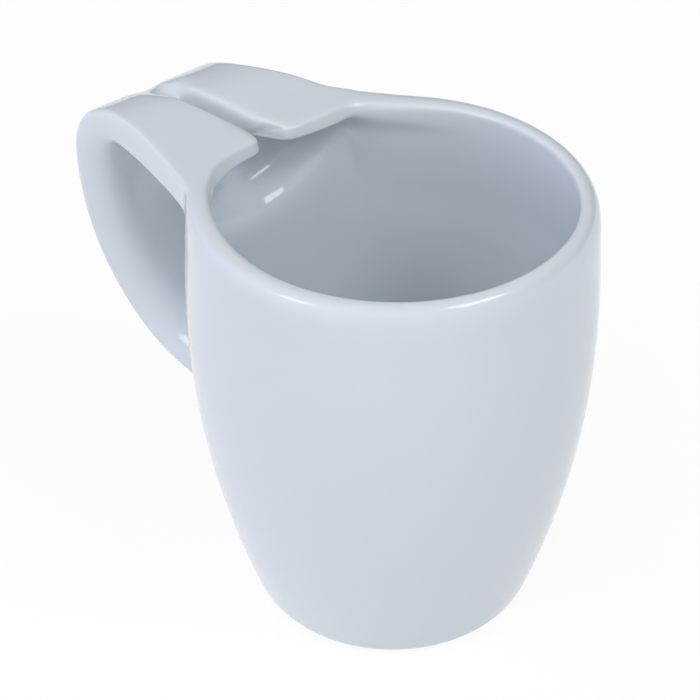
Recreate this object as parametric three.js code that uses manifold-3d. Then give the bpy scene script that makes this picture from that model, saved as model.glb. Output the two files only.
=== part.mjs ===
import * as THREE from 'three';
import { mergeVertices } from 'three/addons/utils/BufferGeometryUtils.js';
import Module from 'manifold-3d';

// A glazed mug whose strap handle is split by a slot that holds a tea bag's string.
// Millimetres. Z is up, the handle points along +X, and its strands lie at +Y and -Y.

// Body of revolution, outside
const height = 96;
const rimRadius = 40;
const bellyRadius = 41.4;
const bellyHeight = 69;
const baseRadius = 29.2;
const baseCorner = 2.7;
const lipRound = 1.3;

// Body inside: the hollow stands a little away from the handle, so the wall is thicker there
const wall = 3.7;
const cavityShift = 1.1;
const floorTop = 6;
const floorFlat = 20;
const floorKnee = 20;

// Foot ring under the floor
const footHeight = 1.6;
const footInner = 21.5;

// Pocket in the wall under the strands, where the string rises to the slot
const pocketCentre = 28;
const pocketReach = 43.5;
const pocketHalfWidth = 20.8;
const pocketDepth = 21.5;
const pocketWall = 3.2;

// Split strap: two strands, flush with the rim, that end in thin tabs over the pocket
const strapThickness = 6.6;
const strapEdge = 1;
const strapHalfWidth = 17.2;
const flareReach = 39.5;
const flareHalfWidth = 20.4;
const rootAngle = THREE.MathUtils.degToRad(39);
const tabThickness = 3.2;
const tabReach = 33.3;
const tabShoulder = 15;
const tabSlope = 1.5;
const strandEnd = 58;

// Slot between the strands, with rounded corners at its mouth, that fades out in the bow
const slotWidth = 4.8;
const slotCorner = 1.7;
const slotFade = 12;

// Bow: the outer bend and the lower arm, as reaches from the mug's axis and drops below the rim
const bowReach = 74.5;
const bowReachDrop = 15;
const bowThickness = 8.4;
const bowHalfWidth = 16.2;
const bowEdge = 2;
const bowSoftEdge = 3.6;
const outerBend = 10;
const innerBend = 7;
const tailDrop = 57;
const tailThickness = 8;
const tailHalfWidth = 15.6;
const tailReach = 34;
const outerSweep = 28;
const innerSweep = 22.5;

// Gap that the joining slip fills between two pieces
const jointGap = 0.3;

// Fineness of the facets
const turnSteps = 60;
const curveSteps = 6;
const bendSteps = 9;
const sweepSteps = 18;
const cornerSteps = 3;

const wasm = await Module();
wasm.setup();

// Solids from geometries and back

function solidFrom(geometry) {
  const bare = geometry.clone();
  bare.deleteAttribute('normal');
  bare.deleteAttribute('uv');
  const merged = mergeVertices(bare, 1e-4);
  const corners = merged.index.array;
  const triangles = [];
  for (let i = 0; i < corners.length; i += 3) {
    const [a, b, c] = corners.slice(i, i + 3);
    if (a !== b && b !== c && c !== a) triangles.push(a, b, c);
  }
  const vertProperties = Float32Array.from(merged.attributes.position.array);
  const triVerts = Uint32Array.from(triangles);
  return new wasm.Manifold(new wasm.Mesh({ numProp: 3, vertProperties, triVerts }));
}

function geometryFrom(solid) {
  const mesh = solid.getMesh();
  const geometry = new THREE.BufferGeometry();
  geometry.setAttribute('position', new THREE.BufferAttribute(mesh.vertProperties, 3));
  geometry.setIndex(new THREE.BufferAttribute(mesh.triVerts, 1));
  geometry.computeVertexNormals();
  return geometry;
}

// A profile of radius and height, turned about Z
function turned(points) {
  return solidFrom(new THREE.LatheGeometry(points, turnSteps).rotateX(Math.PI / 2));
}

// A plan outline raised between two heights, with its upper and lower edges rounded
function raised(shape, bottom, top, edge = 0) {
  const geometry = new THREE.ExtrudeGeometry(shape, {
    depth: top - bottom - 2 * edge,
    curveSegments: bendSteps,
    bevelEnabled: edge > 0,
    bevelThickness: edge,
    bevelSize: edge,
    bevelOffset: -edge,
    bevelSegments: cornerSteps,
  });
  return solidFrom(geometry.translate(0, 0, bottom + edge));
}

// A block that reaches past the whole mug between two heights
function slab(bottom, top) {
  const span = 4 * bowReach;
  const geometry = new THREE.BoxGeometry(span, span, top - bottom);
  return solidFrom(geometry.translate(0, 0, (bottom + top) / 2));
}

// Rings of equally many points, joined one to the next and closed by a fan at each end
function lofted(rings) {
  const count = rings[0].length;
  const corners = [];
  for (let r = 0; r + 1 < rings.length; r += 1) {
    for (let i = 0; i < count; i += 1) {
      const here = r * count + i;
      const beside = r * count + (i + 1) % count;
      corners.push(here, beside + count, beside, here, here + count, beside + count);
    }
  }
  const last = (rings.length - 1) * count;
  for (let i = 1; i + 1 < count; i += 1) {
    corners.push(0, i, i + 1, last, last + i + 1, last + i);
  }
  const geometry = new THREE.BufferGeometry().setFromPoints(rings.flat());
  geometry.setIndex(corners);
  return solidFrom(geometry);
}

// Body

// The wall below the belly is a parabola whose crown is the belly
function outerRadius(z) {
  return bellyRadius - (bellyRadius - baseRadius) * (1 - z / bellyHeight) ** 2;
}

// The whole outside as one solid, grown by a margin where another piece has to clear it
function bodyBlank(margin = 0) {
  const outline = new THREE.Path();
  outline.moveTo(0, 0);
  outline.lineTo(baseRadius - baseCorner + margin, 0);
  outline.quadraticCurveTo(baseRadius + margin, 0, outerRadius(baseCorner) + margin, baseCorner);
  const belly = bellyRadius + margin;
  outline.quadraticCurveTo(belly, (baseCorner + bellyHeight) / 2, belly, bellyHeight);
  outline.quadraticCurveTo(belly, (bellyHeight + height) / 2, rimRadius + margin, height - lipRound);
  outline.quadraticCurveTo(rimRadius + margin, height, rimRadius - lipRound + margin, height);
  outline.lineTo(0, height);
  return turned(outline.getPoints(curveSteps));
}

// The inner wall keeps the outer wall's curve and flares out over the rounded lip
function cavity() {
  const belly = bellyRadius - wall;
  const kneeRadius = outerRadius(floorKnee) - wall;
  const kneeSlope = 2 * (bellyRadius - baseRadius) * (1 - floorKnee / bellyHeight) / bellyHeight;
  const floorCorner = kneeRadius - kneeSlope * (floorKnee - floorTop);
  const rim = rimRadius - wall;
  const outline = new THREE.Path();
  outline.moveTo(0, floorTop);
  outline.lineTo(floorFlat, floorTop);
  outline.quadraticCurveTo(floorCorner, floorTop, kneeRadius, floorKnee);
  outline.quadraticCurveTo(belly, (floorKnee + bellyHeight) / 2, belly, bellyHeight);
  outline.quadraticCurveTo(belly, (bellyHeight + height) / 2, rim, height - lipRound);
  outline.quadraticCurveTo(rim, height, rim + lipRound, height);
  outline.lineTo(rim + lipRound, height + lipRound);
  outline.lineTo(0, height + lipRound);
  return turned(outline.getPoints(curveSteps)).translate([-cavityShift, 0, 0]);
}

// Half an ellipsoid that hangs from the underside of the tabs
function pocket(margin = 0) {
  const bowl = new THREE.Path();
  bowl.moveTo(0, -1);
  bowl.absarc(0, 0, 1, -Math.PI / 2, 0, false);
  bowl.lineTo(0, 0);
  const grown = [pocketReach - pocketCentre, pocketHalfWidth, pocketDepth].map((size) => size + margin);
  return turned(bowl.getPoints(bendSteps)).scale(grown)
    .translate([pocketCentre, 0, height - tabThickness]);
}

// The sector of the rim that the two strands take the place of
function rimNotch() {
  const apex = -jointGap / Math.sin(rootAngle);
  const sector = new THREE.Shape();
  sector.moveTo(apex, 0);
  sector.lineTo(apex + bowReach * Math.cos(rootAngle), -bowReach * Math.sin(rootAngle));
  sector.absarc(apex, 0, bowReach, -rootAngle, rootAngle, false);
  return raised(sector, height - strapThickness - jointGap, height + lipRound);
}

const hollow = cavity();
const bulge = pocket(pocketWall);
const scoop = pocket();

function bowl() {
  return bodyBlank().add(bulge)
    .intersect(slab(footHeight, height))
    .subtract(hollow)
    .subtract(scoop)
    .subtract(rimNotch());
}

function footRing() {
  const recess = new THREE.Path().absarc(0, 0, footInner, 0, 2 * Math.PI, false);
  const opening = raised(new THREE.Shape(recess.getPoints(turnSteps)), -footHeight, 2 * footHeight);
  return bodyBlank().intersect(slab(-footHeight, footHeight - jointGap)).subtract(opening);
}

// Handle

// Distance from the mug's axis to the inner edge of the rim, along a ray at an angle from the handle
function rimInner(angle) {
  const radius = rimRadius - wall;
  return Math.sqrt(radius ** 2 - (cavityShift * Math.sin(angle)) ** 2) - cavityShift * Math.cos(angle);
}

// Plan of the +Y strand, from its tab inside the rim to its end at the bow
function strandPlan() {
  const inner = rimInner(rootAngle);
  const ray = [Math.cos(rootAngle), Math.sin(rootAngle)];
  const slotSide = slotWidth / 2;
  const mouth = tabReach + 2 * slotCorner;
  const plan = new THREE.Shape();
  plan.moveTo(mouth, slotSide);
  plan.lineTo(strandEnd, slotSide);
  plan.lineTo(strandEnd, strapHalfWidth);
  plan.quadraticCurveTo(flareReach, flareHalfWidth, rimRadius * ray[0], rimRadius * ray[1]);
  plan.lineTo(inner * ray[0], inner * ray[1]);
  plan.quadraticCurveTo(tabReach - tabSlope, tabShoulder, tabReach, slotSide + slotCorner);
  plan.quadraticCurveTo(tabReach, slotSide, mouth, slotSide);
  return plan;
}

// The strand is thinned to its tab above the pocket and the bowl
function strand() {
  const under = slab(0, height - tabThickness);
  return raised(strandPlan(), height - strapThickness, height, strapEdge)
    .subtract(hollow.intersect(under))
    .subtract(scoop);
}

// Section of the bow between an outer and an inner point: crisp outside, softer inside
function bowRing(outer, inner, halfWidth, edge, softEdge) {
  const depth = outer.distanceTo(inner);
  const corners = [
    [halfWidth - edge, edge, edge, -90],
    [halfWidth - softEdge, depth - softEdge, softEdge, 0],
    [softEdge - halfWidth, depth - softEdge, softEdge, 90],
    [edge - halfWidth, edge, edge, 180],
  ];
  const ring = [];
  for (const [across, deep, radius, start] of corners) {
    for (let i = 0; i <= cornerSteps; i += 1) {
      const turn = THREE.MathUtils.degToRad(start + 90 * i / cornerSteps);
      const share = (deep + radius * Math.sin(turn)) / depth;
      const point = outer.clone().lerp(inner, share);
      ring.push(new THREE.Vector3(point.x, across + radius * Math.cos(turn), height - point.y));
    }
  }
  return ring;
}

// Side view of the bow as reach and drop: the bend to the widest reach, then the sweep to the body
function bowCurves() {
  const at = (reach, drop) => new THREE.Vector2(reach, drop);
  const curve = (...points) => new THREE.CubicBezierCurve(...points);
  const innerReach = bowReach - bowThickness;
  const innerDrop = bowReachDrop + bowThickness / 3;
  const tailInner = tailDrop - tailThickness;
  const bend = [
    curve(at(strandEnd, 0), at(strandEnd + outerBend, 0),
      at(bowReach, bowReachDrop - outerBend), at(bowReach, bowReachDrop)),
    curve(at(strandEnd, strapThickness), at(strandEnd + innerBend / 2, strapThickness),
      at(innerReach, innerDrop - innerBend), at(innerReach, innerDrop)),
  ];
  const sweep = [
    curve(at(bowReach, bowReachDrop), at(bowReach, bowReachDrop + outerSweep / 2),
      at(tailReach + outerSweep, tailDrop), at(tailReach, tailDrop)),
    curve(at(innerReach, innerDrop), at(innerReach, innerDrop + innerSweep / 2),
      at(tailReach + innerSweep, tailInner), at(tailReach, tailInner)),
  ];
  const root = [at(0, tailDrop), at(0, tailInner)];
  return { bend, sweep, root };
}

// Sections along the bow, which narrows and grows softer on the way to the body
function bowRings() {
  const { bend, sweep, root } = bowCurves();
  const mix = THREE.MathUtils.lerp;
  const rings = [];
  for (let i = 0; i < bendSteps; i += 1) {
    const t = i / bendSteps;
    const half = mix(strapHalfWidth, bowHalfWidth, t);
    const edges = [mix(strapEdge, bowEdge, t), mix(strapEdge, bowSoftEdge, t)];
    rings.push(bowRing(bend[0].getPoint(t), bend[1].getPoint(t), half, ...edges));
  }
  for (let i = 0; i <= sweepSteps; i += 1) {
    const t = i / sweepSteps;
    const half = mix(bowHalfWidth, tailHalfWidth, t);
    rings.push(bowRing(sweep[0].getPoint(t), sweep[1].getPoint(t), half, bowEdge, bowSoftEdge));
  }
  rings.push(bowRing(...root, tailHalfWidth, bowEdge, bowSoftEdge));
  return rings;
}

// The slot's floor rises through the bow and fades out over the bend
function slotEnd() {
  const floor = height - strapThickness;
  const side = new THREE.Shape();
  side.moveTo(strandEnd, floor - jointGap);
  side.lineTo(strandEnd + jointGap, floor - jointGap);
  side.quadraticCurveTo(strandEnd + slotFade, floor, strandEnd + slotFade + strapThickness, height);
  side.lineTo(strandEnd, height + lipRound);
  const cut = { depth: slotWidth, curveSegments: curveSteps, bevelEnabled: false };
  const geometry = new THREE.ExtrudeGeometry(side, cut);
  return solidFrom(geometry.rotateX(Math.PI / 2).translate(0, slotWidth / 2, 0));
}

// The bow stops short of the strands and of the body by the joint's gap
function bow() {
  const start = strandEnd + jointGap;
  const box = new THREE.BoxGeometry(start, 4 * strapHalfWidth, 2 * strapThickness);
  const strands = solidFrom(box.translate(start / 2, 0, height));
  return lofted(bowRings()).subtract(bodyBlank(jointGap)).subtract(strands).subtract(slotEnd());
}

// Materials and assembly

const glaze = new THREE.MeshStandardMaterial({ color: 0xd0d8e2, roughness: 0.12, metalness: 0 });
const bisque = new THREE.MeshStandardMaterial({ color: 0xe6e1d8, roughness: 0.85, metalness: 0 });

const mug = new THREE.Group();

function place(name, solid, material) {
  const mesh = new THREE.Mesh(geometryFrom(solid), material);
  mesh.name = name;
  mug.add(mesh);
}

place('bowl', bowl(), glaze);
place('foot_ring', footRing(), bisque);
place('handle_strand_left', strand(), glaze);
place('handle_strand_right', strand().mirror([0, 1, 0]), glaze);
place('handle_bow', bow(), glaze);

// The origin lies under the middle of the whole mug, on the surface that it stands on
const extent = new THREE.Box3().setFromObject(mug);
mug.position.x = -(extent.min.x + extent.max.x) / 2;

export default mug;
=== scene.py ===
import math
import bmesh
import bpy
from mathutils import Matrix, Vector


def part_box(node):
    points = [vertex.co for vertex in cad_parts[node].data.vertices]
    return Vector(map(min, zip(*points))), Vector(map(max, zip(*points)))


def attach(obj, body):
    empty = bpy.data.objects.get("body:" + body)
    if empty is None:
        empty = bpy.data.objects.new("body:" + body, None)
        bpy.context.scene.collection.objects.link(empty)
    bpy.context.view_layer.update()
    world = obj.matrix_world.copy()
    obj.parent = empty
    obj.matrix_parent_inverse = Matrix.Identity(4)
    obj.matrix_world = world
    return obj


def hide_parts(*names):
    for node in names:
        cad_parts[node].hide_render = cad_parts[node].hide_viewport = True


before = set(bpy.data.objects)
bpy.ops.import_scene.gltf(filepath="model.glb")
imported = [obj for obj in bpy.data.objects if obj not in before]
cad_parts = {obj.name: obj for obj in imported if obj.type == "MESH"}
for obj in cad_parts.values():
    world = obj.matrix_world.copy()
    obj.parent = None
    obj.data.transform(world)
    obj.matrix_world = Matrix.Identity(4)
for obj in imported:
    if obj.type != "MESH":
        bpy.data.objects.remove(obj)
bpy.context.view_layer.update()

print("frame loaded:", sorted(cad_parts))

# Camera: long lens from the front right, above the rim, with the handle at the back left
cameraSet = {
    "azimuth": 220.4, "elevation": 36.95, "distance": 0.4486, "aimHeight": 0.0576,
    "lens": 113.1, "sensor": 36.0, "shiftX": -0.0611, "shiftY": 0.0,
}
bellyRadius = 41.4
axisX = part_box("bowl")[0].x + bellyRadius / 1000  # the mug's own axis, in the part's frame


def wayAt(azimuth, elevation):
    turn, tilt = math.radians(azimuth), math.radians(elevation)
    return Vector((math.sin(turn) * math.cos(tilt), -math.cos(turn) * math.cos(tilt), math.sin(tilt)))


def makeCamera(s):
    back = wayAt(s["azimuth"], s["elevation"])
    data = bpy.data.cameras.new("mugCamera")
    data.lens, data.sensor_width = s["lens"], s["sensor"]
    data.shift_x, data.shift_y = s["shiftX"], s["shiftY"]
    data.clip_start = 0.01
    camera = bpy.data.objects.new("mugCamera", data)
    bpy.context.collection.objects.link(camera)
    camera.location = Vector((axisX, 0, s["aimHeight"])) + back * s["distance"]
    camera.rotation_euler = back.to_track_quat("Z", "Y").to_euler()
    bpy.context.scene.camera = camera


makeCamera(cameraSet)
print("camera set")

# Glazed mug, in millimetres from its own axis: x towards the handle, y towards the near strand, z up
body = {
    "height": 96.0, "rim": 40.0, "belly": bellyRadius, "bellyZ": 69.0, "base": 29.2,
    "drawIn": 26.0,     # height over which the belly draws in to the rim
    "wall": 3.7, "offCentre": 1.1,  # the hollow stands off the axis, so the wall thins opposite the handle
    "lipFade": 16.0,    # degrees from the strap's root to the full lip
    "columns": 72, "rounding": 2,
}
strand = {
    "columns": 8, "share": (0, 0.05, 0.2, 0.37, 0.53, 0.69, 0.83, 0.935, 1),  # from the slot to the side
    "slotHalf": 2.4, "rootAngle": 39.5, "tailAngle": 24.5, "half": 17.2,
    "flare": (39.5, 20.4), "end": 58.0, "steps": (0.16, 0.36, 0.58, 0.8, 1.0),
    "levels": (0.0, 1.2, 5.2, 6.6),  # drops from the top, upper to lower side
    "slotRound": {1: 0.25, -1: 0.5}, "slotSide": {1: 1.3, -1: 1.7}, "slotInset": 0.7,
    "edgeRound": 0.8, "edgeDrop": (0.32, 2.2), "edgeBy": 0.4,
}
tab = {
    "tip": {1: 33.4, -1: 32.3}, "pull": {1: (36.4, 15.0), -1: (31.8, 15.0)},
    "corner": 1.7, "cornerBack": 1.5, "steps": 40,
    "levels": (0.0, 0.8, 2.4, 3.2), "slotRound": 0.7,
    "slope": (0.7, 1.8), "slopeGrow": (0.1, 0.5), "slopeFade": (1.0, 0.85), "dropFade": (1.0, 0.75),
}
scoop = {
    "atX": 28.0, "atDrop": 3.2, "under": 0.5, "skin": 0.1,
    "pocket": {"reach": 16.8, "half": 20.3, "power": 3, "blend": 2.0},
    "back": {"reach": 18.7, "half": 24.0, "power": 2, "blend": 2.5, "deep": 24.7, "fade": (0.9, 1.0),
             "strapShare": 0.8},
    "foldHalf": 21.0, "foldHeight": 17.5, "foldLeast": 8.0,  # the line where the scoop turns into the wall
    "spread": (3.0, 14.0), "fade": (1.0, 0.82),
    "from": 70.0,       # height from which the wall bulges behind the scoop
    # each row: share of the way down to the fold, share of the pocket's depth, millimetres further down
    "rows": {"under": (0, 0.5, 0.5), "scoop0": (0, 1, 2.0), "scoop1": (0.38, 1, 0),
             "scoop2": (0.70, 0.99, 0), "scoop3": (0.855, 0.66, 0), "scoop4": (0.975, 0.18, 0),
             "scoop5": (1, 0, 2.0)},
}
# Heights between which the columns gather at the strap's root, and at the lower root outside
gather = {"inside": (40, 66), "outside": (16, 34), "rootInside": (45, 75), "tail": (12, 36),
          "root": (50, 84)}


def mix(a, b, t):
    return a + (b - a) * t


def ease(a, b, x):
    t = min(max((x - a) / (b - a), 0.0), 1.0)
    return t * t * (3 - 2 * t)


def bezier(points, t):
    rest = [Vector(p) for p in points]
    while len(rest) > 1:
        rest = [a.lerp(b, t) for a, b in zip(rest, rest[1:])]
    return rest[0]


def softMax(a, b, r):
    d = max(r - abs(a - b), 0.0)
    return max(a, b) + d * d / (4 * r)


def across(r, n):  # the other leg of a right triangle, or zero past its end
    return math.sqrt(max(r * r - n * n, 0.0))


def outerRadius(z):
    s = body
    if z < s["bellyZ"]:
        return s["belly"] - (s["belly"] - s["base"]) * (1 - z / s["bellyZ"]) ** 2
    return s["belly"] - (s["belly"] - s["rim"]) * ((z - s["bellyZ"]) / s["drawIn"]) ** 2


# Rows of the turned cage: radius, height, and a name where the handle needs the row
topZ = body["height"]
hollow = body["rim"] - body["wall"]
strapZ = [topZ - drop for drop in strand["levels"]]
footRows = ((0, 1.75), (3, 1.75), (10, 1.75), (18, 1.75), (22.3, 1.7), (26.2, 1.7),
            (26.75, 1.2), (27.0, 0.4), (28.2, 0.35), (29.3, 1.2))
lowerZ = (3.2, 7, 13, 19, 25.5, 31.5)
tailZ = (36.0, 38.0, 43.9, 46.1)
upperZ = (50.5, 56.5, 63, 69, 74, 78.5, 82.5, 86)
lipRows = {  # at the strap, then away from it
    "strap3": (outerRadius(strapZ[3]), strapZ[3], 40.75, 89.2),
    "strap2": (outerRadius(strapZ[2]), strapZ[2], 40.5, 92.0),
    "strap1": (40.05, strapZ[1], 40.1, 94.3), "strap0": (39.95, topZ, 39.15, 95.75),
    "lip": (38.15, topZ, 37.4, 96.1),
    "tab0": (hollow + 0.05, topZ, 36.0, 96.05), "tab1": (hollow, 95.0, 35.5, 95.55),
    "tab2": (hollow, 93.6, 35.4, 94.6), "tab3": (hollow + 0.1, 92.6, 35.45, 93.0),
    "under": (hollow + 0.2, 91.4, 35.5, 91.0), "scoop0": (hollow + 0.35, 89.9, 35.65, 89.0),
    "scoop1": (hollow + 0.5, 88.0, 35.85, 87.0), "scoop2": (hollow + 0.75, 85.0, 36.2, 84.0),
    "scoop3": (hollow + 1.05, 81.0, 36.65, 80.4), "scoop4": (hollow + 1.25, 76.8, 37.1, 76.5),
    "scoop5": (hollow + 1.4, 72.4, hollow + 1.4, 72.4),
}
innerZ = (67, 60, 53, 46, 39, 32, 26)
floorRows = ((31.2, 20.2), (29.0, 14.4), (25.4, 9.6), (20.5, 7.0), (14.5, 6.1), (8, 6), (2.5, 6), (0, 6))
rows = [(r, z, "foot") for r, z in footRows]
rows += [(outerRadius(z), z, "outer") for z in lowerZ]
rows += [(outerRadius(z), z, f"tail{i}") for i, z in enumerate(tailZ)]
rows += [(outerRadius(z), z, "outer") for z in upperZ]
rows += [(r, z, name) for name, (r, z, _, _) in lipRows.items()]
rows += [(outerRadius(z) - body["wall"], z, "inner") for z in innerZ]
rows += [(r, z, "inner") for r, z in floorRows]
rowNames = {name: i for i, (_, _, name) in enumerate(rows) if name not in ("foot", "outer", "inner")}
slotRows = list(lipRows)[:list(lipRows).index("scoop1") + 1]  # the rows that a strand's slot side joins

columnStep = 360 / body["columns"]


def freeTurn(k):  # a column's angle where nothing gathers it
    return columnStep * (k + 0.5)


freeAngle = freeTurn(strand["columns"])


# Angles of the columns: they gather at the strap's root, and at the lower root outside
def columnAngle(z, k, inside):
    s = strand
    if inside:
        edge = mix(freeAngle, s["rootAngle"], ease(*gather["rootInside"], z))
    else:
        edge = mix(freeAngle, s["tailAngle"], ease(*gather["tail"], z))
        edge = mix(edge, s["rootAngle"], ease(*gather["root"], z))
    if k > s["columns"]:
        return edge + (freeTurn(k) - freeAngle) * (180 - edge) / (180 - freeAngle)
    first = math.degrees(math.asin(s["slotHalf"] / body["rim"])) * edge / s["rootAngle"]
    pull = ease(*gather["inside" if inside else "outside"], z)
    return mix(first, edge, mix(k / s["columns"], s["share"][k], pull))


def scoopReach(n, form, down=0.0):
    left = 1 - (n / form["half"]) ** form["power"] - down ** 2
    return scoop["atX"] + form["reach"] * math.sqrt(left) if left > 0 else 0.0


def foldDrop(n):
    s = scoop
    return max(s["atDrop"] + s["foldHeight"] * across(1, n / s["foldHalf"]), s["foldLeast"])


# The tab's end seen from above: from the rim's root to the rounded corner at the slot
rootTurn = math.radians(strand["rootAngle"])
rootHalf = body["rim"] * math.sin(rootTurn)
rootReach = across(hollow, body["offCentre"] * math.sin(rootTurn)) - body["offCentre"] * math.cos(rootTurn)
tabRoot = Vector((math.cos(rootTurn), math.sin(rootTurn))) * rootReach
tabInner = strand["slotHalf"] + tab["corner"]


def tabCurve(side):
    points = (tabRoot, tab["pull"][side], (tab["tip"][side], tabInner))
    return [bezier(points, t / tab["steps"]) for t in range(tab["steps"] + 1)]


tabLine = {side: tabCurve(side) for side in (1, -1)}


def tabPoint(share, side, depth):
    s = tab
    n = mix(strand["slotHalf"], tabRoot.y, share)
    spot = tabRoot.copy()
    if n <= tabInner:
        t = (tabInner - n) / s["corner"]
        spot = Vector((s["tip"][side] + s["cornerBack"] * t * t, n))
    for a, b in zip(tabLine[side], tabLine[side][1:]):
        if b.y < n <= a.y:
            spot = a.lerp(b, (n - a.y) / (b.y - a.y))
    spot.x -= depth * mix(*s["slope"], ease(*s["slopeGrow"], share)) * ease(*s["slopeFade"], share)
    return spot


# Places in a strand's columns, on the +Y side: the rim's top, the tab's end, the scoop, the wall behind it
def rimTop(name, r, z, k, side):
    s, share = strand, strand["share"][k]
    n = mix(s["slotHalf"], rootHalf, share)
    if k == 0:
        soft = s["slotRound"][side]
        n, z = (n, topZ - s["slotSide"][side]) if name == "strap1" else (n + soft, topZ - soft)
    if name != "lip":
        return Vector((across(r, n), n, z))
    tip = tabPoint(share, side, 0)
    return Vector((mix(tip.x, across(body["rim"], n), 0.5), mix(tip.y, n, 0.5 if k else 1), z))


def tabEnd(name, z, k, side):
    share = strand["share"][k]
    drop = tab["levels"][int(name[3])]
    spot = tabPoint(share, side, drop / tab["levels"][3])
    if k == 0 and name == "tab0":
        drop = tab["slotRound"] * strand["slotRound"][side]
        spot.y += drop
    return Vector((spot.x, spot.y, mix(z, topZ - drop, ease(*tab["dropFade"], share))))


def scoopWall(name, r, z, y, k, side):
    s, share = scoop, strand["share"][k]
    tip = tabPoint(share, side, 1)
    down, depth, past = s["rows"][name]
    n = mix(tip.y, y, ease(*s["spread"], topZ - z))
    drop = mix(tab["levels"][3] + s["under"], foldDrop(n), down) + past
    wallX = across(r + s["skin"], n) - body["offCentre"]
    pocket = softMax(wallX, scoopReach(n, s["pocket"]), s["pocket"]["blend"])
    x = mix(tip.x if name == "under" else wallX, pocket, depth)
    return Vector((x, n, mix(z, topZ - drop, ease(*s["fade"], share))))


def wallBehind(name, r, z, flat, k):
    s, share = scoop["back"], strand["share"][k]
    x, n = flat
    if name != "outer":
        n = mix(strand["slotHalf"], rootHalf, share)
        x = across(r, n)
    drop = strand["levels"][3] if name == "strap2" else topZ - z
    reach = softMax(x, scoopReach(n, s, (drop - scoop["atDrop"]) / s["deep"]), s["blend"])
    x = mix(reach, x, ease(*s["fade"], share))
    if name == "strap2":
        x = mix(across(body["rim"], n), x, s["strapShare"])
    return Vector((x, n, z))


# Place of a cage point, mirrored to the +Y side, from its row, its column and its own side
def cagePoint(row, k, side):
    r, z, name = rows[row]
    inside = row >= rowNames["tab0"]
    shift = body["offCentre"] if inside else body["offCentre"] / 2 if name == "lip" else 0
    angle = math.radians(columnAngle(z, k, inside or name == "lip"))
    if k <= strand["columns"]:
        flat = Vector((r * math.cos(angle) - shift, r * math.sin(angle)))
        if name in ("strap0", "strap1", "lip"):
            return rimTop(name, r, z, k, side)
        if name.startswith("tab"):
            return tabEnd(name, z, k, side)
        if name in scoop["rows"]:
            return scoopWall(name, r, z, flat.y, k, side)
        if name in ("outer", "strap3", "strap2") and z > scoop["from"]:
            return wallBehind(name, r, z, flat, k)
    elif name in lipRows:
        soft = ease(0, body["lipFade"], freeTurn(k) - freeAngle)
        r, z = mix(r, lipRows[name][2], soft), mix(z, lipRows[name][3], soft)
    return Vector((r * math.cos(angle) - shift, r * math.sin(angle), z))


# Row and column of a turned point; the two poles have no column
def gridKey(v):
    angle = math.degrees(math.atan2(v.co.y, v.co.x))
    r = math.hypot(v.co.x, v.co.y)
    row = min(range(len(rows)), key=lambda i: abs(rows[i][0] - r) + abs(rows[i][1] - v.co.z))
    return row, (round(abs(angle) / columnStep - 0.5), 1 if angle > 0 else -1) if r > 0.01 else None


# Turn the profile, then move each point of the grid to its place
bm = bmesh.new()
firstTurn = math.radians(freeTurn(0))
line = [bm.verts.new((r * math.cos(firstTurn), r * math.sin(firstTurn), z)) for r, z, _ in rows]
edges = [bm.edges.new(pair) for pair in zip(line, line[1:])]
bmesh.ops.spin(bm, geom=line + edges, cent=(0, 0, 0), axis=(0, 0, 1), angle=2 * math.pi, dvec=(0, 0, 0),
               steps=body["columns"], use_merge=True)
bmesh.ops.remove_doubles(bm, verts=bm.verts, dist=1e-4)
grid = {}
for v in bm.verts:
    row, column = gridKey(v)
    if column is not None:
        grid[(row, *column)] = v
    elif row == len(rows) - 1:
        v.co.x = -body["offCentre"]  # the middle of the bowl's floor
for (row, k, side), v in grid.items():
    place = cagePoint(row, k, side)
    v.co = (place.x, side * place.y, place.z)

# Blend the tabs' roots into the lip
rootBlend = {"columns": range(6, 13), "passes": 4}
tabRoots = [grid[(rowNames[name], k, side)] for name in slotRows[slotRows.index("lip"):]
            for k in rootBlend["columns"] for side in (1, -1)]
for _ in range(rootBlend["passes"]):
    bmesh.ops.smooth_vert(bm, verts=tabRoots, factor=0.5, use_axis_x=True, use_axis_y=True, use_axis_z=False)
bmesh.ops.recalc_face_normals(bm, faces=bm.faces)
print("body turned:", len(bm.faces), "faces")


def facesBetween(firstRow, lastRow, columns):
    span = range(rowNames[firstRow], rowNames[lastRow] + 1)
    wanted = {grid[(r, k, side)] for r in span for k, side in columns}
    return [f for f in bm.faces if all(v in wanted for v in f.verts)]


def rimEdges(faces):
    around = dict.fromkeys(e for f in faces for e in f.edges)  # keeps its order, as a set would not
    return [e for e in around if sum(f in faces for f in e.link_faces) == 1]


strands = {side: [(k, side) for k in range(strand["columns"] + 1)] for side in (1, -1)}
slotTop = facesBetween("strap3", "scoop1", [(0, 1), (0, -1)])
bmesh.ops.delete(bm, geom=slotTop, context="FACES")
tailFaces = facesBetween("tail0", "tail3", strands[1] + strands[-1])
tailRim = rimEdges(tailFaces)
bmesh.ops.delete(bm, geom=tailFaces, context="FACES")


# Push a patch of faces out by one section; place(level, column, side) gives the new points
def pushOut(patch, keys, place):
    out = bmesh.ops.extrude_face_region(bm, geom=patch)["geom"]
    near = {tuple(round(c, 4) for c in v.co): key for v, key in keys.items()}
    moved = {v: near[tuple(round(c, 4) for c in v.co)] for v in out if isinstance(v, bmesh.types.BMVert)}
    for v, (level, k, side) in moved.items():
        v.co = place(level, k, side)
    bmesh.ops.delete(bm, geom=patch, context="FACES")
    return [f for f in out if isinstance(f, bmesh.types.BMFace)], moved


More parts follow.
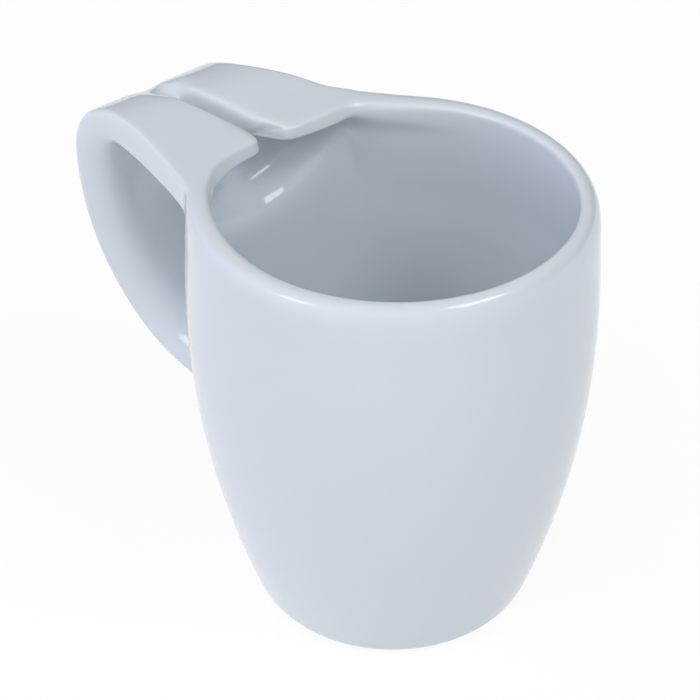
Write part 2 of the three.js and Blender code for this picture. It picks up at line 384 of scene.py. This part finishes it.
def strapPlace(t):
    s = strand

    def place(level, k, side):
        share = s["share"][k]
        root = cagePoint(rowNames[f"strap{level}"], k, side)
        end = Vector((s["end"], mix(s["slotHalf"], s["half"], share)))
        pull = Vector((mix(mix(root.x, end.x, 0.5), s["flare"][0], share ** 2),
                       mix(s["slotHalf"], s["flare"][1], share)))
        drop = s["levels"][level]
        if k == 0 and level == 0:
            drop = s["slotRound"][side]
            end.y, pull.y = end.y + drop, pull.y + drop
        elif k == 0 and level == 1:
            drop = s["slotSide"][side]
        elif k == s["columns"] and level < 2:
            soft = ease(0, s["edgeBy"], t)
            end.y -= soft * s["edgeRound"] * (1 - level)
            drop = mix(drop, s["edgeDrop"][level], soft)
        flat = bezier((root.xy, pull, end), t)
        return Vector((flat.x, side * flat.y, topZ - drop))
    return place


# Bow: side views as x and drop from the top, then values at the strands, after the bend and at the tail
bow = {
    "bendOuter": ((58, 0), (68, 0), (74.5, 5), (74.5, 15)),
    "bendInner": ((58, 6.6), (61.5, 6.6), (66.1, 10.8), (66.1, 17.8)),
    "sweepOuter": ((74.5, 15), (74.5, 29), (63.4, 59), (34, 59.2)),
    "sweepInner": ((66.1, 17.8), (66.1, 29.05), (57.3, 50.6), (34, 51)),
    "half": (17.2, 16.2, 15.6), "edge": (1.6, 2.0, 1.6), "softEdge": (1.2, 5.2, 6.3),
    "wide": (1.0, 1.0, 1.5),
    "firstStep": 0.16, "firstHalf": 17.0,  # the section that ends the slot
    "bendSteps": (0.34, 0.52, 0.7, 0.86), "sweepSteps": (0.0, 0.14, 0.28, 0.4, 0.52, 0.63, 0.73, 0.82),
    "slotFade": (2.9, 0.9, 0.25, 0.05, 0.0), "dipShare": (1.0, 0.3),  # the slot's depth into the bend
    "tailX": 43.0, "tailDrops": (59.2, 51.0), "tailHalf": 15.8, "tailSoft": 5.4, "tailOff": 2.2,
    "corner": 0.3, "cornerTurn": 0.85, "cornerStart": 1.6,  # where a rounded corner's points lie, in radii
}


# A section of the bow: outer and inner edge points in side view, half-width and corner radii
def bowPlace(outer, inner, half, edge, softEdge, wide=1.0, dip=0.0):
    depth = (inner - outer).length
    last, slot = strand["columns"], strand["slotHalf"]

    def place(level, k, side):
        share = strand["share"][k]
        n = mix(slot, half, share)
        d = (0, edge, depth - softEdge, depth)[level]
        if level == 0:
            if k == last:
                n, d = half - bow["corner"] * edge, bow["corner"] * edge
            elif k == last - 1:
                n = min(n, half - edge)
            elif k < len(bow["dipShare"]):
                d = dip * bow["dipShare"][k]
        elif level == 3:
            if k == last:
                n, d = half - bow["corner"] * wide * softEdge, depth - bow["corner"] * softEdge
            elif k == last - 1:
                n = half - bow["cornerTurn"] * wide * softEdge
            else:
                n = mix(slot, half - bow["cornerStart"] * softEdge, share / strand["share"][last - 2])
        elif k == 0 and dip:
            d = mix(dip, depth, level / 3)
        point = outer.lerp(inner, d / depth)
        return Vector((point.x, side * n, topZ - point.y))
    return place


def bowSection(stretch, t, dip=0.0):
    at = 0 if stretch == "bend" else 1
    sizes = [mix(*bow[name][at:at + 2], t) for name in ("half", "edge", "softEdge", "wide")]
    return bowPlace(bezier(bow[stretch + "Outer"], t), bezier(bow[stretch + "Inner"], t), *sizes, dip)


def firstSection():
    t = bow["firstStep"]
    return bowPlace(bezier(bow["bendOuter"], t), bezier(bow["bendInner"], t), bow["firstHalf"],
                    bow["edge"][0], bow["softEdge"][0], dip=bow["slotFade"][0])


# The last section follows the body's round side
def tailPlace(level, k, side):
    low, high = (Vector((bow["tailX"], drop)) for drop in bow["tailDrops"])
    section = bowPlace(low, high, bow["tailHalf"], bow["edge"][2], bow["tailSoft"], bow["wide"][2])
    p = section(level, k, side)
    p.x = across(outerRadius(p.z) + bow["tailOff"], p.y)
    return p


patches = {}
for side in (1, -1):
    patch = facesBetween("strap3", "strap0", strands[side])
    keys = {grid[(rowNames[f"strap{l}"], k, side)]: (l, k, side) for l in range(4) for k, _ in strands[side]}
    for t in strand["steps"]:
        patch, keys = pushOut(patch, keys, strapPlace(t))
    patches[side] = pushOut(patch, keys, firstSection())
print("strands drawn out")

# The slot ends between the strands, and from there the bow goes on as one
patch = patches[1][0] + patches[-1][0]
keys = {**patches[1][1], **patches[-1][1]}
atKey = {key: v for v, key in keys.items()}
slotEnd = [[atKey[key] for key in ((l, 0, 1), (l, 0, -1), (l + 1, 0, -1), (l + 1, 0, 1))] for l in range(3)]
patch += [bm.faces.new(quad) for quad in slotEnd]
for t, dip in zip(bow["bendSteps"], bow["slotFade"][1:]):
    patch, keys = pushOut(patch, keys, bowSection("bend", t, dip))
for quad in slotEnd:
    if bm.faces.get(quad) is None:
        bm.faces.new(quad)
for t in bow["sweepSteps"]:
    patch, keys = pushOut(patch, keys, bowSection("sweep", t))
patch, keys = pushOut(patch, keys, tailPlace)
endRim = rimEdges(patch)
bmesh.ops.delete(bm, geom=patch, context="FACES")
bmesh.ops.bridge_loops(bm, edges=endRim + tailRim)
print("bow drawn out and joined:", len(bm.faces), "faces")

# Close the slot: the wall's top between the strands, then a side for each strand
wallTop = ((slotRows[0], 1), (slotRows[0], -1), (slotRows[-1], -1), (slotRows[-1], 1))
bm.faces.new([grid[(rowNames[name], 0, side)] for name, side in wallTop])
slotSides = [bm.faces.new([grid[(rowNames[name], 0, side)] for name in slotRows]) for side in (1, -1)]
bmesh.ops.recalc_face_normals(bm, faces=bm.faces)
bmesh.ops.inset_region(bm, faces=slotSides, thickness=strand["slotInset"], use_even_offset=True)
bmesh.ops.delete(bm, geom=[v for v in bm.verts if not v.link_faces], context="VERTS")
unclosed = sum(len(e.link_faces) != 2 for e in bm.edges)
print("mug cage:", len(bm.faces), "faces,", unclosed, "edges not closed")


# The handle as the kiln left it: a little askew, raised at the bend, fuller at the far root
warp = {
    "skew": 0.075, "pull": -1.13, "rise": 1.09, "roll": 0.32, "arm": 1.4,
    "bendFull": -0.25, "bendRoll": 0.54, "bendShare": 0.7,
    "slotNear": 1.3, "slotFar": 1.5, "slotEnd": 1.1,
    "farFlare": 1.86, "flareMost": -1.2, "farRim": 0.9, "farSag": 0.9,
}
# Where each of these fades in and out, from nothing to all of it, in millimetres or degrees
zone = {
    "offBody": (40.5, 50), "high": (60, 92), "riseX": (40, 56), "bendX": (54, 64), "bendZ": (72, 88),
    "tabZ": (89, 92.5), "tabX": (26, 33), "tabY": (24, 13),
    "slotY": (9, 2.5), "slotZ": (86, 90), "slotX": (26, 31),
    "nearFrom": (33, 40), "nearTo": (56, 43), "farTo": (43, 33), "endFrom": (43, 57),
    "rimFrom": (30, 44), "rimTo": (84, 44), "rimZ": (88, 92), "rimReach": (38.5, 36.5),
    "sagFrom": (34, 50), "sagTo": (175, 120), "sagZ": (87, 95),
    "flareFrom": (36, 42), "flareTo": (60, 48),
}


def within(x, *names):
    return math.prod(ease(*zone[name], x) for name in names)


def warped(p, s):
    reach, tilt = math.hypot(p.x, p.y), p.y / strand["half"]
    away = within(reach, "offBody") if p.x > 0 else 0.0
    onTab = within(p.z, "tabZ") * within(p.x, "tabX") * within(abs(p.y), "tabY")
    high = within(p.z, "high")
    bend = s["bendShare"] * within(p.x, "bendX") * within(p.z, "bendZ") * away
    bend *= s["bendFull"] + s["bendRoll"] * tilt
    besideSlot = within(abs(p.y), "slotY") * within(p.z, "slotZ") * within(p.x, "slotX")
    moved = p.copy()
    moved.x += max(away, onTab) * (s["skew"] * p.y + s["pull"]) + bend + away * (1 - high) * s["arm"]
    moved.z += away * high * within(p.x, "riseX") * (s["rise"] + s["roll"] * tilt) + bend
    if p.y > 0:
        moved.y -= besideSlot * s["slotNear"] * within(p.x, "nearFrom", "nearTo")
        return moved
    moved.y -= besideSlot * (s["slotFar"] * within(p.x, "farTo") - s["slotEnd"] * within(p.x, "endFrom"))
    turn = math.degrees(math.atan2(-p.y, p.x))
    moved.z -= s["farSag"] * within(turn, "sagFrom", "sagTo") * within(p.z, "sagZ") * (1 - away)
    inward = s["farRim"] * within(turn, "rimFrom", "rimTo") * within(p.z, "rimZ") * within(reach, "rimReach")
    if inward:
        moved.xy -= p.xy * (inward / reach)
    moved.y += away * within(p.x, "flareFrom", "flareTo") * s["farFlare"] * max(tilt, s["flareMost"])
    return moved


for v in bm.verts:
    v.co = warped(v.co, warp)
toPart = Matrix.Translation((axisX, 0, 0)) @ Matrix.Scale(0.001, 4)
bmesh.ops.transform(bm, matrix=toPart, verts=bm.verts)


def pieceFrom(mesh, name, levels):
    data = bpy.data.meshes.new(name)
    mesh.to_mesh(data)
    mesh.free()
    for polygon in data.polygons:
        polygon.use_smooth = True
    piece = bpy.data.objects.new(name, data)
    bpy.context.collection.objects.link(piece)
    if levels:
        smooth = piece.modifiers.new("rounding", "SUBSURF")
        smooth.levels = smooth.render_levels = levels
    return piece


glazedMug = pieceFrom(bm, "glazed_mug", body["rounding"])
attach(glazedMug, "root")
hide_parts("bowl", "handle_strand_left", "handle_strand_right", "handle_bow")


# Foot ring: the one bare surface, ground flat where the mug stands
foot = {"inner": 21.6, "outer": 26.55, "height": 1.45, "edge": 0.35, "steps": 96}


def makeFoot(s):
    ring = bmesh.new()
    corners = ((s["inner"], 0), (s["outer"], 0), (s["outer"], s["height"]), (s["inner"], s["height"]))
    section = [ring.verts.new((r, 0, z)) for r, z in corners]
    sides = [ring.edges.new((section[i], section[(i + 1) % 4])) for i in range(4)]
    bmesh.ops.spin(ring, geom=section + sides, cent=(0, 0, 0), axis=(0, 0, 1), angle=2 * math.pi,
                   dvec=(0, 0, 0), steps=s["steps"], use_merge=True)
    bmesh.ops.remove_doubles(ring, verts=ring.verts, dist=1e-4)
    bmesh.ops.recalc_face_normals(ring, faces=ring.faces)
    sharp = [e for e in ring.edges if e.calc_face_angle(0) > 1]
    bmesh.ops.bevel(ring, geom=sharp, offset=s["edge"], affect="EDGES", segments=3, profile=0.5, material=-1)
    bmesh.ops.transform(ring, matrix=toPart, verts=ring.verts)
    piece = pieceFrom(ring, "bare_foot_ring", 0)
    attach(piece, "root")
    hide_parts("foot_ring")
    return piece


footRing = makeFoot(foot)
print("foot ring made")


# Shader sums in plain Python: a socket that adds its own nodes
class Shade:
    def __init__(self, tree, socket=None):
        self.tree, self.socket = tree, socket

    # links are named for their sockets, with _ for a space, or i0, i1 and so on by number
    def node(self, kind, settings=None, out=0, **links):
        made = self.tree.nodes.new(kind)
        for key, value in (settings or {}).items():
            setattr(made, key, value)
        for key, value in links.items():
            numbered = key[0] == "i" and key[1:].isdigit()
            target = made.inputs[int(key[1:]) if numbered else key.replace("_", " ")]
            if isinstance(value, Shade):
                self.tree.links.new(value.socket, target)
            else:
                target.default_value = value
        return Shade(self.tree, made.outputs[out])

    def math(self, operation, a, b=0.0):
        return self.node("ShaderNodeMath", {"operation": operation}, i0=a, i1=b)

    def vector(self, operation, out=0, **links):
        return self.node("ShaderNodeVectorMath", {"operation": operation}, out, **links)

    def __add__(self, other):
        return self.math("ADD", self, other)

    def __sub__(self, other):
        return self.math("SUBTRACT", self, other)

    def __rsub__(self, other):
        return self.math("SUBTRACT", other, self)

    def __mul__(self, other):
        return self.math("MULTIPLY", self, other)

    __radd__, __rmul__ = __add__, __mul__

    def band(self, low, high):
        smooth = {"interpolation_type": "SMOOTHSTEP"}
        return self.node("ShaderNodeMapRange", smooth, Value=self, From_Min=low, From_Max=high)

    def blend(self, first, second):
        return self.node("ShaderNodeMix", {"data_type": "RGBA"}, 2, i0=self, i6=first, i7=second)


def newMaterial(name):
    made = bpy.data.materials.new(name)
    made.use_nodes = True
    tree = made.node_tree
    return made, Shade(tree), tree.nodes["Principled BSDF"]


def feed(shader, tree, **inputs):
    for name, value in inputs.items():
        tree.links.new(value.socket, shader.inputs[name.replace("_", " ")])


# Glaze: cool white, a little deeper where it pools, thinner at the lip, with a faint skin and a few specks
glaze = {
    "white": (0.755, 0.80, 0.84, 1), "deep": (0.73, 0.78, 0.823, 1), "thin": (0.765, 0.797, 0.828, 1),
    "speck": (0.40, 0.40, 0.38, 1), "ior": 1.52,
    "roughness": 0.07, "roughMore": 0.05, "roughBand": (0.3, 0.7),
    "patch": 22, "pool": (0.35, 0.70), "poolShare": 0.55, "foot": (0.001, 0.010), "footShare": 0.35,
    "lip": (0.0925, 0.0958), "lipShare": 0.6, "skin": 420, "skinLift": 0.00006, "skinStrength": 0.35,
    "cells": 55, "speckSize": (0.010, 0.022), "pick": 31, "picked": (0.60, 0.64), "speckShare": 0.45,
}


def makeGlaze(s):
    made, sh, shader = newMaterial("glaze")
    place = sh.node("ShaderNodeTexCoord", out=3)
    cloud = sh.node("ShaderNodeTexNoise", Vector=place, Scale=s["patch"], Detail=3.0, Roughness=0.5)
    fine = sh.node("ShaderNodeTexNoise", Vector=place, Scale=s["skin"], Detail=1.0)
    height = sh.node("ShaderNodeSeparateXYZ", out=2, Vector=place)
    nearFoot = 1 - height.band(*s["foot"])
    cells = sh.node("ShaderNodeTexVoronoi", {"feature": "F1"}, Vector=place, Scale=s["cells"])
    pick = sh.node("ShaderNodeTexNoise", Vector=place, Scale=s["pick"], Detail=0.0)
    specks = (1 - cells.band(*s["speckSize"])) * pick.band(*s["picked"]) * s["speckShare"]
    pooled = cloud.band(*s["pool"]) * s["poolShare"] + nearFoot * s["footShare"]
    colour = pooled.blend(s["white"], s["deep"])
    colour = (height.band(*s["lip"]) * s["lipShare"]).blend(colour, s["thin"])
    colour = specks.blend(colour, s["speck"])
    rough = cloud.band(*s["roughBand"]) * s["roughMore"] + s["roughness"]
    bump = sh.node("ShaderNodeBump", Height=fine, Strength=s["skinStrength"], Distance=s["skinLift"])
    feed(shader, sh.tree, Base_Color=colour, Roughness=rough, Normal=bump)
    shader.inputs["IOR"].default_value = s["ior"]
    return made


# Bare foot: warm unglazed clay with grain, rubbed greyer where it meets the table
bare = {
    "body": (0.78, 0.745, 0.69, 1), "rubbed": (0.60, 0.58, 0.55, 1), "roughness": 0.86, "polish": 0.2,
    "grain": 900, "grainBand": (0.45, 0.75), "grainShare": 0.25, "lift": 0.00012, "strength": 0.7,
    "mottle": 130, "mottleBand": (0.42, 0.66), "rubHeight": 0.0005, "rubShare": 0.6,
}


def makeBare(s):
    made, sh, shader = newMaterial("bareFoot")
    place = sh.node("ShaderNodeTexCoord", out=3)
    grain = sh.node("ShaderNodeTexNoise", Vector=place, Scale=s["grain"], Detail=4.0)
    mottle = sh.node("ShaderNodeTexNoise", Vector=place, Scale=s["mottle"], Detail=3.0)
    height = sh.node("ShaderNodeSeparateXYZ", out=2, Vector=place)
    rub = (1 - height.band(0.0, s["rubHeight"])) * mottle.band(*s["mottleBand"])
    worn = rub * s["rubShare"] + grain.band(*s["grainBand"]) * s["grainShare"]
    colour = worn.blend(s["body"], s["rubbed"])
    bump = sh.node("ShaderNodeBump", Height=grain, Strength=s["strength"], Distance=s["lift"])
    feed(shader, sh.tree, Base_Color=colour, Roughness=s["roughness"] - rub * s["polish"], Normal=bump)
    return made


glazedMug.data.materials.append(makeGlaze(glaze))
footRing.data.materials.append(makeBare(bare))
print("glaze and bare foot done")

# Studio: a white sweep under a soft tent, with three boxes of light
# Azimuths are from the camera to its right, and a tent side glows from the cosine "from" to its middle
studio = {
    "floorHalf": 4.0, "floorColour": (0.8, 0.8, 0.8, 1), "floorRoughness": 0.9,
    "floorGlow": 1.06, "glowShare": 0.84, "lampAway": 1.0, "lampAim": (axisX, 0, 0.06),
}
tent = {
    "left": {"azimuth": -90, "elevation": 8, "from": 0.1, "colour": (0.765, 0.755, 0.97)},
    "front": {"azimuth": 0, "elevation": 15, "from": 0, "colour": (0.75, 0.73, 0.71)},
    "back": {"azimuth": 150, "elevation": 15, "from": 0, "colour": (0.10, 0.10, 0.11)},
}
lamps = {
    "boxRight": {"azimuth": 56, "elevation": 51, "size": 0.40, "power": 3.2, "colour": (0.82, 0.92, 1)},
    "boxLeft": {"azimuth": -58, "elevation": 42, "size": 0.27, "power": 1.2, "colour": (0.8, 1, 0.95)},
    "boxBack": {"azimuth": 180, "elevation": 65, "size": 1.6, "power": 2.05, "colour": (1, 0.87, 0.72)},
}


def wayTo(s):
    return wayAt(cameraSet["azimuth"] + s["azimuth"], s["elevation"])


def makeFloor(s):
    sheet = bmesh.new()
    bmesh.ops.create_grid(sheet, x_segments=1, y_segments=1, size=s["floorHalf"])
    data = bpy.data.meshes.new("floor")
    sheet.to_mesh(data)
    sheet.free()
    floor = bpy.data.objects.new("floor", data)
    bpy.context.collection.objects.link(floor)
    made, sh, shader = newMaterial("floor")
    shader.inputs["Base Color"].default_value = s["floorColour"]
    shader.inputs["Roughness"].default_value = s["floorRoughness"]
    shader.inputs["Specular IOR Level"].default_value = 0.0
    seen = sh.node("ShaderNodeLightPath", out=0)
    mirrored = Shade(sh.tree, seen.socket.node.outputs["Is Glossy Ray"])
    through = Shade(sh.tree, seen.socket.node.outputs["Is Transmission Ray"])
    shown = sh.math("MAXIMUM", sh.math("MAXIMUM", seen, mirrored), through) * s["glowShare"]
    glow = sh.node("ShaderNodeEmission", Strength=s["floorGlow"])
    both = sh.node("ShaderNodeMixShader", i0=shown, i1=Shade(sh.tree, shader.outputs[0]), i2=glow)
    sh.tree.links.new(both.socket, sh.tree.nodes["Material Output"].inputs["Surface"])
    data.materials.append(made)


def makeTent(sides):
    world = bpy.data.worlds.new("tent")
    bpy.context.scene.world = world
    world.use_nodes = True
    sh = Shade(world.node_tree)
    way = sh.node("ShaderNodeTexCoord", out=0)
    light = (0, 0, 0)
    for side in sides:
        facing = sh.vector("DOT_PRODUCT", 1, i0=way, i1=wayTo(side))
        glow = sh.vector("SCALE", i0=side["colour"], Scale=facing.band(side["from"], 1))
        light = sh.vector("ADD", i0=light, i1=glow)
    world.node_tree.links.new(light.socket, world.node_tree.nodes["Background"].inputs["Color"])


def makeLamp(name, s):
    data = bpy.data.lights.new(name, "AREA")
    data.shape, data.size = "SQUARE", s["size"]
    data.energy, data.color = s["power"], s["colour"]
    lamp = bpy.data.objects.new(name, data)
    bpy.context.collection.objects.link(lamp)
    lamp.location = Vector(studio["lampAim"]) + wayTo(s) * studio["lampAway"]
    lamp.rotation_euler = wayTo(s).to_track_quat("Z", "Y").to_euler()


makeFloor(studio)
makeTent(tent.values())
for lampName, lampSet in lamps.items():
    makeLamp(lampName, lampSet)
bpy.context.scene.view_settings.view_transform = "Standard"
print("studio lit")
